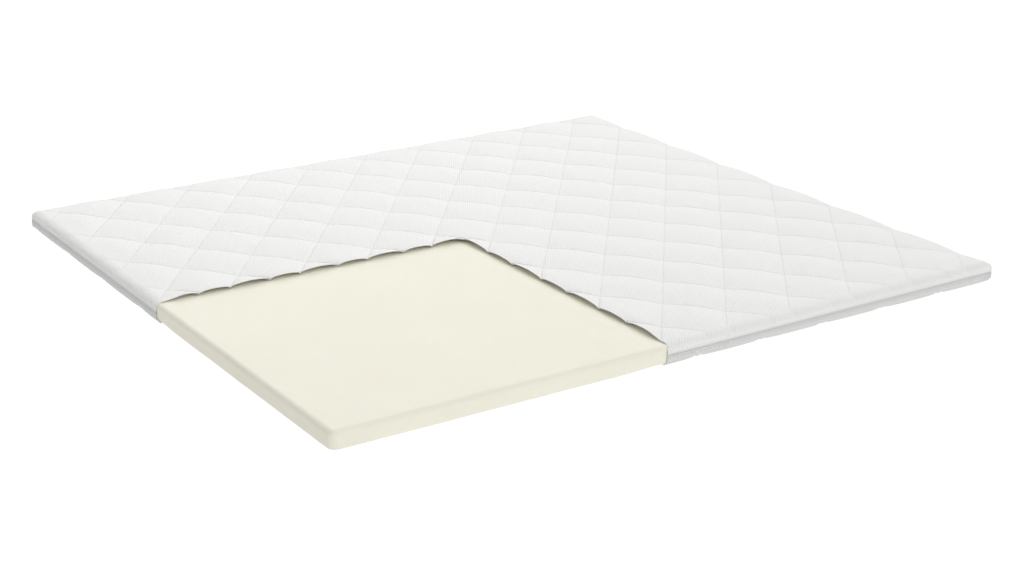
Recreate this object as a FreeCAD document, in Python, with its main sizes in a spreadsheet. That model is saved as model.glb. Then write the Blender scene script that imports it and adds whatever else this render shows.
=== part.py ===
import FreeCAD, Part
import Sketcher
import os
import math

# Memory foam mattress, 180 x 200 cm, about 5 cm thick: one foam slab in a
# quilted cover made of an upper and a lower half that zip together all round.
# One corner of the cover is cut away and shows the foam.
#
# Frame: +Z up, +X along the 200 cm side, origin on the floor under the middle.
# The cut-away is at the -X -Y corner. The zip's slider is on the +Y side.

V = FreeCAD.Vector
doc = FreeCAD.newDocument("memory_foam_mattress")

# ------------------------------------------------------------------ dimensions
sheet = doc.addObject("Spreadsheet::Sheet", "dims")
CELLS = [
    ("mattress_length", 2000.0),
    ("mattress_width", 1800.0),
    ("mattress_height", 52.0),
    ("plan_corner", 20.0),       # rounding of the four corners seen from above
    ("top_roll", 16.0),          # roll of the upper cover over the edge
    ("bottom_roll", 6.0),        # roll of the lower cover under the edge
    ("knit_thick", 0.9),
    ("lining_thick", 0.4),
    ("side_wadding", 1.4),
    ("top_wadding", 3.9),
    ("cover_clearance", 0.3),
    ("zip_low", 18.0),           # top of the lower cover's side
    ("zip_high", 29.0),          # bottom of the upper cover's side
    ("zip_slit", 0.9),           # gap between the two tapes
    ("tape_inset", 0.4),
    ("tape_thick", 0.5),
    ("coil_thick", 1.1),
    ("coil_width", 2.15),
    ("foam_roll", 14.0),
    ("foam_corner", 20.0),
    ("foam_under_roll", 4.0),
    ("cut_x", -88.0),            # the cut-away's straight edges
    ("cut_y", 11.0),
    ("cut_round", 25.0),
    ("quilt_x", 201.0),          # one repeat of the diamond quilting
    ("quilt_y", 250.6),
    ("quilt_x0", -333.4),        # one crossing of the stitch lines
    ("quilt_y0", 583.7),
    ("thread_wide", 0.5),
    ("thread_deep", 0.35),
    ("quilt_border", 17.0),      # the stitching stops this far from the edge
    ("seam_offset", 2.0),        # seam stitches, from the edge of the knit
    ("slider_x", 890.0),
    ("slider_long", 11.0),
    ("slider_mouth", 8.4),
    ("slider_tail", 6.4),
    ("plate_thick", 0.85),
    ("inner_plate", 0.65),
    ("pull_length", 22.0),
    ("pull_width", 5.6),
    ("pull_thick", 1.0),
    ("label_long", 46.0),
    ("label_high", 13.0),
    ("label_thick", 0.3),
    ("label_x", 700.0),
]
for row, (name, value) in enumerate(CELLS, start=1):
    sheet.set("A%d" % row, name)
    sheet.set("B%d" % row, str(value))
    sheet.setAlias("B%d" % row, name)
doc.recompute()
D = {name: value for name, value in CELLS}


def dim(expr):
    """A spreadsheet expression: every known name gets the sheet's prefix."""
    out, word = "", ""
    for ch in expr + " ":
        if ch.isalnum() or ch == "_":
            word += ch
        else:
            out += ("dims." + word) if word in D else word
            out += ch
            word = ""
    return out.strip()


def plane_of(body, role):
    for feature in body.Origin.OriginFeatures:
        if feature.Role == role:
            return feature
    raise RuntimeError("no plane " + role)


def rectangle(body, name, role, long_expr, wide_expr, at=None):
    """A constrained rectangle, its middle on the origin or at (x, y)."""
    sk = body.newObject("Sketcher::SketchObject", name)
    sk.AttachmentSupport = [(plane_of(body, role), "")]
    sk.MapMode = "FlatFace"
    a, b = 10.0, 5.0
    pts = [V(-a, -b, 0), V(a, -b, 0), V(a, b, 0), V(-a, b, 0)]
    for i in range(4):
        sk.addGeometry(Part.LineSegment(pts[i], pts[(i + 1) % 4]), False)
    for i in range(4):
        sk.addConstraint(Sketcher.Constraint("Coincident", i, 2, (i + 1) % 4, 1))
    sk.addConstraint(Sketcher.Constraint("Horizontal", 0))
    sk.addConstraint(Sketcher.Constraint("Horizontal", 2))
    sk.addConstraint(Sketcher.Constraint("Vertical", 1))
    sk.addConstraint(Sketcher.Constraint("Vertical", 3))
    n = sk.addConstraint(Sketcher.Constraint("DistanceX", 0, 1, 0, 2, 2 * a))
    sk.renameConstraint(n, "long_side")
    sk.setExpression("Constraints.long_side", dim(long_expr))
    n = sk.addConstraint(Sketcher.Constraint("DistanceY", 1, 1, 1, 2, 2 * b))
    sk.renameConstraint(n, "wide_side")
    sk.setExpression("Constraints.wide_side", dim(wide_expr))
    if at is None:
        sk.addConstraint(Sketcher.Constraint("Symmetric", 0, 1, 2, 1, -1, 1))
    else:
        n = sk.addConstraint(Sketcher.Constraint("DistanceX", -1, 1, 0, 1, -a))
        sk.renameConstraint(n, "left")
        sk.setExpression("Constraints.left", dim(at[0]))
        n = sk.addConstraint(Sketcher.Constraint("DistanceY", -1, 1, 0, 1, -b))
        sk.renameConstraint(n, "low")
        sk.setExpression("Constraints.low", dim(at[1]))
    return sk


def pad(body, sketch, length_expr, name="Pad", both=False):
    p = body.newObject("PartDesign::Pad", name)
    p.Profile = sketch
    p.setExpression("Length", dim(length_expr))
    if both:
        p.Midplane = True
    sketch.Visibility = False
    doc.recompute()
    return p


def round_edges(body, base, pick, radius_expr, name):
    names = ["Edge%d" % (i + 1) for i, e in enumerate(base.Shape.Edges) if pick(e)]
    f = body.newObject("PartDesign::Fillet", name)
    f.Base = (base, names)
    f.setExpression("Radius", dim(radius_expr))
    doc.recompute()
    return f


def upright(e):
    b = e.BoundBox
    return b.ZLength > 1e-3 and b.XLength < 1e-3 and b.YLength < 1e-3


def at_height(z):
    def pick(e):
        b = e.BoundBox
        return b.ZLength < 1e-3 and abs(b.ZMin - z) < 1e-3
    return pick


def slab(label, inset, low, high, corner, roll=None, rolled=None):
    """A flat block with rounded corners: inset from the outline, low to high."""
    body = doc.addObject("PartDesign::Body", label)
    body.Label = label
    sk = rectangle(body, label + "_plan", "XY_Plane",
                   "mattress_length - 2 * (%s)" % inset,
                   "mattress_width - 2 * (%s)" % inset)
    p = pad(body, sk, "(%s) - (%s)" % (high, low), label + "_pad")
    last = round_edges(body, p, upright, corner, label + "_corners")
    if roll:
        z = p.Length.Value if rolled == "top" else 0.0
        last = round_edges(body, last, at_height(z), roll, label + "_roll")
    body.Tip = last
    body.setExpression("Placement.Base.z", dim(low))
    doc.recompute()
    return body


def cut(label, base, tool):
    c = doc.addObject("Part::Cut", label)
    c.Label = label
    c.Base = base
    c.Tool = tool
    doc.recompute()
    return c


def common(label, base, tool):
    c = doc.addObject("Part::Common", label)
    c.Label = label
    c.Base = base
    c.Tool = tool
    doc.recompute()
    return c


# ------------------------------------------------------------- the cut-away tool
def cutaway_tool(label, extra):
    body = doc.addObject("PartDesign::Body", label)
    sk = rectangle(body, label + "_plan", "XY_Plane",
                   "cut_x + mattress_length / 2 + 20 + %s" % extra,
                   "cut_y + mattress_width / 2 + 20 + %s" % extra,
                   at=("-mattress_length / 2 - 20", "-mattress_width / 2 - 20"))
    p = pad(body, sk, "mattress_height + 20", label + "_pad")

    def inner(e):
        b = e.BoundBox
        return upright(e) and b.XMin > -mid_x and b.YMin > -mid_y
    mid_x, mid_y = 500.0, 500.0
    body.Tip = round_edges(body, p, inner, "cut_round + %s" % extra, label + "_round")
    body.Placement = FreeCAD.Placement(V(0, 0, -10), FreeCAD.Rotation())
    doc.recompute()
    return body


cutaway = cutaway_tool("cutaway_region", "0")
cutaway_wide = cutaway_tool("cutaway_region_wide", "3")

# ------------------------------------------------------- diamond stitch lines
# Straight lines of stitching in two directions. The tool runs the full height,
# and each half of the cover takes its own thin layer of it.
strips = []
slope = math.atan2(D["quilt_y"], D["quilt_x"])
half_l, half_w = D["mattress_length"] / 2, D["mattress_width"] / 2
reach = half_w * D["quilt_x"] / D["quilt_y"]
for turn in (1, -1):
    first = int(math.floor((-half_l - reach - D["quilt_x0"]) / D["quilt_x"])) - 3
    for k in range(first, first + 30):
        # where this line meets y = 0
        x_at_0 = D["quilt_x0"] + k * D["quilt_x"] - turn * D["quilt_y0"] * D["quilt_x"] / D["quilt_y"]
        if not -half_l - reach + 30 < x_at_0 < half_l + reach - 30:
            continue
        b = doc.addObject("Part::Box", "stitch_line_%d" % len(strips))
        b.setExpression("Length", dim("mattress_length * 1.5"))
        b.setExpression("Width", dim("thread_wide"))
        b.setExpression("Height", dim("mattress_height + 2"))
        rot = FreeCAD.Rotation(V(0, 0, 1), math.degrees(turn * slope))
        start = rot.multVec(V(-D["mattress_length"] * 0.75, -D["thread_wide"] / 2, 0))
        b.Placement = FreeCAD.Placement(V(x_at_0, 0, -1) + start, rot)
        strips.append(b)
lines = doc.addObject("Part::MultiFuse", "stitch_lines")
lines.Shapes = strips
doc.recompute()

# ------------------------------------------------------------------ lower cover
low0 = slab("lower_outer", "0", "0", "zip_low", "plan_corner", "bottom_roll", "bottom")
low1 = slab("lower_in_knit", "knit_thick", "knit_thick", "zip_low + 2",
            "plan_corner - knit_thick", "bottom_roll - knit_thick", "bottom")
low2 = slab("lower_in_wadding", "knit_thick + side_wadding", "knit_thick + side_wadding",
            "zip_low + 2", "plan_corner - knit_thick - side_wadding",
            "bottom_roll - knit_thick - side_wadding", "bottom")
low3 = slab("lower_in_lining", "knit_thick + side_wadding + lining_thick",
            "knit_thick + side_wadding + lining_thick", "zip_low + 2",
            "plan_corner - knit_thick - side_wadding - lining_thick",
            "bottom_roll - knit_thick - side_wadding - lining_thick", "bottom")
below_zip = slab("below_zip", "0", "0", "zip_low", "plan_corner")

lower_net_area = slab("lower_net_area", "quilt_border", "0", "thread_deep", "plan_corner")
lower_net_field = cut("lower_net_field", lower_net_area, cutaway_wide)
lower_quilting_thread = common("lower_quilting_thread", lines, lower_net_field)

seam_out = slab("lower_seam_out", "0", "zip_low - seam_offset - thread_wide",
                "zip_low - seam_offset", "plan_corner")
seam_in = slab("lower_seam_in", "thread_deep", "zip_low - seam_offset - thread_wide - 1",
               "zip_low - seam_offset + 1", "plan_corner - thread_deep")
lower_seam_ring = cut("lower_seam_ring", seam_out, seam_in)
lower_seam_thread = cut("lower_seam_thread", lower_seam_ring, cutaway_wide)

lower_knit_tray = cut("lower_knit_tray", low0, low1)
lower_knit_cut = cut("lower_knit_cut", lower_knit_tray, cutaway)
lower_knit_grooved = cut("lower_knit_grooved", lower_knit_cut, lower_quilting_thread)
lower_cover_knit = cut("lower_cover_knit", lower_knit_grooved, lower_seam_thread)

lower_wadding_full = cut("lower_wadding_full", low1, low2)
lower_wadding_low = common("lower_wadding_low", lower_wadding_full, below_zip)
lower_cover_wadding = cut("lower_cover_wadding", lower_wadding_low, cutaway)
lower_lining_full = cut("lower_lining_full", low2, low3)
lower_lining_low = common("lower_lining_low", lower_lining_full, below_zip)
lower_cover_lining = cut("lower_cover_lining", lower_lining_low, cutaway)

# ------------------------------------------------------------------ upper cover
up0 = slab("upper_outer", "0", "zip_high", "mattress_height", "plan_corner",
           "top_roll", "top")
up1 = slab("upper_in_knit", "knit_thick", "zip_high - 2", "mattress_height - knit_thick",
           "plan_corner - knit_thick", "top_roll - knit_thick", "top")
up2 = slab("upper_in_wadding", "knit_thick + side_wadding", "zip_high - 2",
           "mattress_height - knit_thick - top_wadding",
           "plan_corner - knit_thick - side_wadding",
           "top_roll - knit_thick - side_wadding", "top")
up3 = slab("upper_in_lining", "knit_thick + side_wadding + lining_thick", "zip_high - 2",
           "mattress_height - knit_thick - top_wadding - lining_thick",
           "plan_corner - knit_thick - side_wadding - lining_thick",
           "top_roll - knit_thick - side_wadding - lining_thick", "top")
above_zip = slab("above_zip", "0", "zip_high", "mattress_height", "plan_corner")

upper_net_area = slab("upper_net_area", "quilt_border", "mattress_height - thread_deep",
                      "mattress_height", "plan_corner")
upper_net_field = cut("upper_net_field", upper_net_area, cutaway_wide)
upper_quilting_thread = common("upper_quilting_thread", lines, upper_net_field)

seam_out = slab("upper_seam_out", "0", "zip_high + seam_offset",
                "zip_high + seam_offset + thread_wide", "plan_corner")
seam_in = slab("upper_seam_in", "thread_deep", "zip_high + seam_offset - 1",
               "zip_high + seam_offset + thread_wide + 1", "plan_corner - thread_deep")
upper_seam_ring = cut("upper_seam_ring", seam_out, seam_in)
upper_seam_thread = cut("upper_seam_thread", upper_seam_ring, cutaway_wide)

upper_knit_tray = cut("upper_knit_tray", up0, up1)
upper_knit_cut = cut("upper_knit_cut", upper_knit_tray, cutaway)
upper_knit_grooved = cut("upper_knit_grooved", upper_knit_cut, upper_quilting_thread)
upper_cover_knit = cut("upper_cover_knit", upper_knit_grooved, upper_seam_thread)

upper_wadding_full = cut("upper_wadding_full", up1, up2)
upper_wadding_high = common("upper_wadding_high", upper_wadding_full, above_zip)
upper_cover_wadding = cut("upper_cover_wadding", upper_wadding_high, cutaway)
upper_lining_full = cut("upper_lining_full", up2, up3)
upper_lining_high = common("upper_lining_high", upper_lining_full, above_zip)
upper_cover_lining = cut("upper_cover_lining", upper_lining_high, cutaway)


# -------------------------------------------------------------------------- zip
def ring(label, inset, thick, low, high):
    outer = slab(label + "_out", inset, low, high, "plan_corner - (%s)" % inset)
    inner = slab(label + "_in", "(%s) + (%s)" % (inset, thick), "(%s) - 1" % low,
                 "(%s) + 1" % high, "plan_corner - (%s) - (%s)" % (inset, thick))
    whole = cut(label + "_ring", outer, inner)
    return whole


MID = "(zip_low + zip_high) / 2"
lower_tape_ring = ring("lower_tape", "tape_inset", "tape_thick", "zip_low",
                       MID + " - zip_slit / 2")
lower_zip_tape = cut("lower_zip_tape", lower_tape_ring, cutaway)
upper_tape_ring = ring("upper_tape", "tape_inset", "tape_thick",
                       MID + " + zip_slit / 2", "zip_high")
upper_zip_tape = cut("upper_zip_tape", upper_tape_ring, cutaway)

# the coils stop short of each other where the zip begins and ends
coil_gap = doc.addObject("Part::Box", "coil_gap")
coil_gap.setExpression("Length", dim("17"))
coil_gap.setExpression("Width", dim("20"))
coil_gap.setExpression("Height", dim("mattress_height"))
coil_gap.setExpression("Placement.Base.x", dim("slider_x + slider_long / 2 + 1"))
coil_gap.setExpression("Placement.Base.y", dim("mattress_width / 2 - 10"))
doc.recompute()
lower_coil_ring = ring("lower_coil", "tape_inset + tape_thick", "coil_thick",
                       MID + " - zip_slit / 2 - coil_width", MID + " - zip_slit / 2")
lower_coil_cut = cut("lower_coil_cut", lower_coil_ring, cutaway)
lower_zip_coil = cut("lower_zip_coil", lower_coil_cut, coil_gap)
upper_coil_ring = ring("upper_coil", "tape_inset + tape_thick", "coil_thick",
                       MID + " + zip_slit / 2", MID + " + zip_slit / 2 + coil_width")
upper_coil_cut = cut("upper_coil_cut", upper_coil_ring, cutaway)
upper_zip_coil = cut("upper_zip_coil", upper_coil_cut, coil_gap)


def stops(label, low_expr):
    """A crimped stop at each end of one coil: two separate small blocks."""
    pair = []
    for i, x_expr in enumerate(("slider_x + slider_long / 2 + 1",
                                "slider_x + slider_long / 2 + 16")):
        b = doc.addObject("Part::Box", "%s_%d" % (label, i + 1))
        b.setExpression("Length", dim("2"))
        b.setExpression("Width", dim("coil_thick"))
        b.setExpression("Height", dim("coil_width"))
        b.setExpression("Placement.Base.x", dim(x_expr))
        b.setExpression("Placement.Base.y",
                        dim("mattress_width / 2 - tape_inset - tape_thick - coil_thick"))
        b.setExpression("Placement.Base.z", dim(low_expr))
        pair.append(b)
    c = doc.addObject("Part::Compound", label)
    c.Label = label
    c.Links = pair
    doc.recompute()
    return c


lower_zip_stops = stops("lower_zip_stops", MID + " - zip_slit / 2 - coil_width")
upper_zip_stops = stops("upper_zip_stops", MID + " + zip_slit / 2")

# ------------------------------------------------------------------ foam slab
foam = doc.addObject("PartDesign::Body", "foam_core")
foam.Label = "foam_core"
INSET = "(knit_thick + side_wadding + lining_thick + cover_clearance)"
sk = rectangle(foam, "foam_plan", "XY_Plane", "mattress_length - 2 * " + INSET,
               "mattress_width - 2 * " + INSET)
FOAM_TOP = "(mattress_height - knit_thick - top_wadding - lining_thick - cover_clearance)"
p = pad(foam, sk, FOAM_TOP + " - " + INSET, "foam_pad")
f1 = round_edges(foam, p, upright, "foam_corner", "foam_corners")
f2 = round_edges(foam, f1, at_height(p.Length.Value), "foam_roll", "foam_top_edge")
f3 = round_edges(foam, f2, at_height(0.0), "foam_under_roll", "foam_bottom_edge")
foam.Tip = f3
foam.setExpression("Placement.Base.z", dim(INSET))
doc.recompute()

# ----------------------------------------------------------------- zip slider
# Built on the XZ plane, which a pad leaves towards -Y, into the mattress. Its
# local origin is the middle of the zip, on the outside face of the +Y side.


def polygon(body, name, role, points, offset_z_expr=None):
    sk = body.newObject("Sketcher::SketchObject", name)
    sk.AttachmentSupport = [(plane_of(body, role), "")]
    sk.MapMode = "FlatFace"
    n = len(points)
    for i in range(n):
        a, b = points[i], points[(i + 1) % n]
        sk.addGeometry(Part.LineSegment(V(a[0], a[1], 0), V(b[0], b[1], 0)), False)
    for i in range(n):
        sk.addConstraint(Sketcher.Constraint("Coincident", i, 2, (i + 1) % n, 1))
    if offset_z_expr:
        sk.setExpression("AttachmentOffset.Base.z", dim(offset_z_expr))
    return sk


def size_points(sk, rules):
    """rules: (name, edge, end, 'X' or 'Y', value, expression) from the origin."""
    for name, edge, end, axis, value, expr in rules:
        n = sk.addConstraint(Sketcher.Constraint("Distance" + axis, -1, 1, edge, end, value))
        sk.renameConstraint(n, name)
        sk.setExpression("Constraints." + name, dim(expr))


slider = doc.addObject("PartDesign::Body", "zip_slider")
slider.Label = "zip_slider"
hl = D["slider_long"] / 2


def shield(name, offset_expr):
    m, t = D["slider_mouth"] / 2, D["slider_tail"] / 2
    sk = polygon(slider, name, "XZ_Plane",
                 [(-hl, -t), (0.0, -m), (hl, -m), (hl, m), (0.0, m), (-hl, t)], offset_expr)
    size_points(sk, [
        ("x0", 0, 1, "X", -hl, "-slider_long / 2"), ("y0", 0, 1, "Y", -t, "-slider_tail / 2"),
        ("x1", 1, 1, "X", 0.0, "0"), ("y1", 1, 1, "Y", -m, "-slider_mouth / 2"),
        ("x2", 2, 1, "X", hl, "slider_long / 2"), ("y2", 2, 1, "Y", -m, "-slider_mouth / 2"),
        ("x3", 3, 1, "X", hl, "slider_long / 2"), ("y3", 3, 1, "Y", m, "slider_mouth / 2"),
        ("x4", 4, 1, "X", 0.0, "0"), ("y4", 4, 1, "Y", m, "slider_mouth / 2"),
        ("x5", 5, 1, "X", -hl, "-slider_long / 2"), ("y5", 5, 1, "Y", t, "slider_tail / 2"),
    ])
    return sk


# the plate outside the tapes; a sketch's offset counts inwards from the outside
outer_face = "(tape_inset - 0.1) - plate_thick"
sk = shield("outer_plate_shape", outer_face)
pad(slider, sk, "plate_thick", "outer_plate")
# the neck that parts the two coils, at the mouth end
sk = polygon(slider, "neck_shape", "XZ_Plane",
             [(2.2, -0.2), (hl - 0.6, -0.2), (hl - 0.6, 0.2), (2.2, 0.2)],
             "(tape_inset - 0.1) - 0.2")
size_points(sk, [
    ("x0", 0, 1, "X", 2.2, "2.2"), ("y0", 0, 1, "Y", -0.2, "-(zip_slit - 0.5) / 2"),
    ("x1", 1, 1, "X", hl - 0.6, "slider_long / 2 - 0.6"), ("y1", 1, 1, "Y", -0.2, "-(zip_slit - 0.5) / 2"),
    ("x2", 2, 1, "X", hl - 0.6, "slider_long / 2 - 0.6"), ("y2", 2, 1, "Y", 0.2, "(zip_slit - 0.5) / 2"),
    ("x3", 3, 1, "X", 2.2, "2.2"), ("y3", 3, 1, "Y", 0.2, "(zip_slit - 0.5) / 2"),
])
pad(slider, sk, "tape_thick + coil_thick + 0.6", "neck")
# the plate behind the coils
sk = shield("inner_plate_shape", "tape_inset + tape_thick + coil_thick + 0.1")
pad(slider, sk, "inner_plate", "inner_plate_pad")
# the lip that runs under the lower coil
sk = polygon(slider, "lip_shape", "XZ_Plane",
             [(-hl + 0.8, -3.75), (hl - 0.2, -3.75), (hl - 0.2, -3.15), (-hl + 0.8, -3.15)],
             "tape_inset + tape_thick + 0.1")
size_points(sk, [
    ("x0", 0, 1, "X", -hl + 0.8, "-slider_long / 2 + 0.8"), ("y0", 0, 1, "Y", -3.75, "-slider_mouth / 2 + 0.45"),
    ("x1", 1, 1, "X", hl - 0.2, "slider_long / 2 - 0.2"), ("y1", 1, 1, "Y", -3.75, "-slider_mouth / 2 + 0.45"),
    ("x2", 2, 1, "X", hl - 0.2, "slider_long / 2 - 0.2"), ("y2", 2, 1, "Y", -3.15, "-slider_mouth / 2 + 1.05"),
    ("x3", 3, 1, "X", -hl + 0.8, "-slider_long / 2 + 0.8"), ("y3", 3, 1, "Y", -3.15, "-slider_mouth / 2 + 1.05"),
])
lip = pad(slider, sk, "coil_thick + 0.2", "lip")


def plate_corner(e):
    b = e.BoundBox
    return (b.XLength < 1e-3 and b.ZLength < 1e-3 and b.YLength > 0.3
            and abs(abs(b.XMin) - hl) < 1e-3 and abs(b.ZMin) > D["slider_tail"] / 2 - 1e-3
            and b.YMax > -0.31)


last = round_edges(slider, lip, plate_corner, "1.2", "plate_corners")
slider.Tip = last
slider.setExpression("Placement.Base.x", dim("slider_x"))
slider.setExpression("Placement.Base.y", dim("mattress_width / 2"))
slider.setExpression("Placement.Base.z", dim(MID))
doc.recompute()

# the cap: an arch on the outer plate that holds the pull
cap = doc.addObject("PartDesign::Body", "zip_slider_cap")
cap.Label = "zip_slider_cap"
PLATE_FACE = D["plate_thick"] - 0.3
sk = cap.newObject("Sketcher::SketchObject", "cap_side")
sk.AttachmentSupport = [(plane_of(cap, "XY_Plane"), "")]
sk.MapMode = "FlatFace"
ro, ri = 3.1, 2.1
top_o, top_i = PLATE_FACE + 2.35, PLATE_FACE + 1.6
pts = [(-ro, PLATE_FACE), (-ro, top_o - 0.8), (-ro + 0.8, top_o), (ro - 0.8, top_o),
       (ro, top_o - 0.8), (ro, PLATE_FACE), (ri, PLATE_FACE), (ri, top_i), (-ri, top_i),
       (-ri, PLATE_FACE)]
for i in range(len(pts)):
    a, b = pts[i], pts[(i + 1) % len(pts)]
    sk.addGeometry(Part.LineSegment(V(a[0], a[1], 0), V(b[0], b[1], 0)), False)
for i in range(len(pts)):
    sk.addConstraint(Sketcher.Constraint("Coincident", i, 2, (i + 1) % len(pts), 1))
for i, (x, y) in enumerate(pts):
    n = sk.addConstraint(Sketcher.Constraint("DistanceX", -1, 1, i, 1, x))
    sk.renameConstraint(n, "px%d" % i)
    n = sk.addConstraint(Sketcher.Constraint("DistanceY", -1, 1, i, 1, y))
    sk.renameConstraint(n, "py%d" % i)
    sk.setExpression("Constraints.py%d" % i,
                     dim("plate_thick - 0.3 + %.6f" % (y - PLATE_FACE)))
cap_pad = pad(cap, sk, "2.4", "cap_pad", both=True)
cap.Tip = cap_pad
cap.setExpression("Placement.Base.x", dim("slider_x"))
cap.setExpression("Placement.Base.y", dim("mattress_width / 2"))
cap.setExpression("Placement.Base.z", dim(MID))
doc.recompute()

# the pull: a plate with a window, its crossbar under the cap's arch
PIN_OUT = PLATE_FACE + 0.8          # the crossbar's axis, out from the side face
pull = doc.addObject("PartDesign::Body", "zip_pull")
pull.Label = "zip_pull"
sk = rectangle(pull, "pull_plan", "XZ_Plane", "pull_length", "pull_width",
               at=("0.5 - pull_length", "-pull_width / 2"))
sk.setExpression("AttachmentOffset.Base.z", dim("-pull_thick / 2"))
p = pad(pull, sk, "pull_thick", "pull_plate")
win = rectangle(pull, "pull_window", "XZ_Plane", "4.4", "3.2", at=("-4.9", "-1.6"))
pk = pull.newObject("PartDesign::Pocket", "window")
pk.Profile = win
pk.Type = 1
pk.Midplane = True
doc.recompute()


def pull_tip(e):
    b = e.BoundBox
    return (b.XLength < 1e-3 and b.ZLength < 1e-3
            and b.XMin < 0.5 - D["pull_length"] + 1e-3)


r1 = round_edges(pull, pk, pull_tip, "2.2", "pull_tip_round")


def crossbar_edge(e):
    b = e.BoundBox
    return (b.XLength < 1e-3 and b.YLength < 1e-3 and b.ZLength > 3.0
            and abs(b.XMin) < 0.51)


r1 = round_edges(pull, r1, crossbar_edge, "0.49", "crossbar_round")
eye = rectangle(pull, "pull_eye", "XZ_Plane", "2.6", "1.6", at=("3.4 - pull_length", "-0.8"))
pk2 = pull.newObject("PartDesign::Pocket", "tip_slot")
pk2.Profile = eye
pk2.Type = 1
pk2.Midplane = True
doc.recompute()
pull.Tip = pk2
pull.setExpression("Placement.Base.x", dim("slider_x"))
pull.setExpression("Placement.Base.y", dim("mattress_width / 2 + plate_thick - 0.3 + 0.8"))
pull.setExpression("Placement.Base.z", dim(MID))
doc.recompute()

# --------------------------------------------------------- blank care label
label = doc.addObject("PartDesign::Body", "care_label")
label.Label = "care_label"
sk = rectangle(label, "label_face", "XZ_Plane", "label_long", "label_high",
               at=("0", "0"))
p = pad(label, sk, "label_thick", "label_pad")
label.Tip = p
label.setExpression("Placement.Base.x", dim("label_x"))
label.setExpression("Placement.Base.y", dim("mattress_width / 2 + label_thick"))
label.setExpression("Placement.Base.z", dim("zip_low - seam_offset + 0.6 - label_high"))
doc.recompute()

# ---------------------------------------------------------------------- export
NODES = [
    lower_cover_knit, lower_cover_wadding, lower_cover_lining,
    lower_quilting_thread, lower_seam_thread, lower_zip_tape, lower_zip_coil,
    lower_zip_stops, label, foam, upper_cover_knit, upper_cover_wadding,
    upper_cover_lining, upper_quilting_thread, upper_seam_thread,
    upper_zip_tape, upper_zip_coil, upper_zip_stops, slider, cap, pull,
]
bad = []
for o in doc.Objects:
    state = " ".join(o.State)
    if "Invalid" in state or "Error" in state:
        bad.append("%s: %s" % (o.Label, state))
for o in NODES:
    s = o.Shape
    if s.isNull() or not s.isValid() or not s.Solids:
        bad.append("%s: shape null or invalid" % o.Label)
if bad:
    raise RuntimeError("; ".join(bad))

os.makedirs("parts", exist_ok=True)
for o in NODES:
    o.Shape.exportStep("parts/%s.step" % o.Label)
    b = o.Shape.BoundBox
    print("%-24s solids %2d  vol %12.1f  x %8.2f..%8.2f  y %8.2f..%8.2f  z %6.2f..%6.2f" % (
        o.Label, len(o.Shape.Solids), o.Shape.Volume, b.XMin, b.XMax, b.YMin, b.YMax,
        b.ZMin, b.ZMax))
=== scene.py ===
import math

import bmesh
import bpy
import numpy as np
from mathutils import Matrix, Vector


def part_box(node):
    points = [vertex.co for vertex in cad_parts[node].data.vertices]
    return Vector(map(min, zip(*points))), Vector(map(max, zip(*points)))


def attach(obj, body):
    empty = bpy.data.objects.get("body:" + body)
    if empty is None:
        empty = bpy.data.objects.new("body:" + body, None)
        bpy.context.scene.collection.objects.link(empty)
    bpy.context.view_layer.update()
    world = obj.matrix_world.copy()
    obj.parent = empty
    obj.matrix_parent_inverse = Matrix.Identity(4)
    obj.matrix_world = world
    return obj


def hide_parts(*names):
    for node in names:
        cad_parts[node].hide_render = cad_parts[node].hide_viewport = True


# A memory foam mattress, 180 x 200 cm: one foam slab in a quilted, zipped cover
# whose near corner is cut away. Lengths in this file are millimetres until
# make_piece() turns them into metres.

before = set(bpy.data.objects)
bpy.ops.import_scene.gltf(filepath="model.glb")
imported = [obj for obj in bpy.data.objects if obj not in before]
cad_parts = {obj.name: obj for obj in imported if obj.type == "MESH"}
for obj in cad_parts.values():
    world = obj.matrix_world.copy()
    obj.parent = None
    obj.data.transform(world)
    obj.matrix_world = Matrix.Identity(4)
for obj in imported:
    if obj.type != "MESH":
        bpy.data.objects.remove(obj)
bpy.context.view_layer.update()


def span(node):
    lo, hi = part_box(node)
    return np.array(lo) * 1000.0, np.array(hi) * 1000.0


HX = span("lower_cover_knit")[1][0]     # half the length
HY = span("lower_cover_knit")[1][1]     # half the width: the cover's own, the slider stands further out
UP_LO = span("upper_cover_knit")[0][2]   # lower edge of the upper cover's side
LOW_HI = span("lower_cover_knit")[1][2]  # upper edge of the lower cover's side
FOAM_LO, FOAM_HI = span("foam_core")
CUT_X, CUT_Y = -88.0, 11.0
CUT_R = 25.0
PX, PY = 201.0, 250.6                    # one repeat of the diamond quilting
UP_0 = (-333.4, 583.7)                   # one crossing of the stitch lines, above
LOW_0 = (-1008.0, 114.0)                 # and below


# ------------------------------------------------------------------ small tools
def smooth(t):
    t = np.clip(t, 0.0, 1.0)
    return t * t * (3.0 - 2.0 * t)


def wobble(x, y, seed, longest=420.0):
    """A slow, soft unevenness, about -1 to 1."""
    r = np.random.default_rng(seed)
    total = np.zeros_like(np.asarray(x, float))
    for k in range(7):
        a = r.uniform(0, 2 * math.pi)
        wave = longest / (1.0 + 0.75 * k)
        p = r.uniform(0, 2 * math.pi)
        total = total + np.sin((np.cos(a) * x + np.sin(a) * y) * 2 * math.pi / wave + p) / (1.0 + 0.5 * k)
    return total / 2.2


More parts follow.
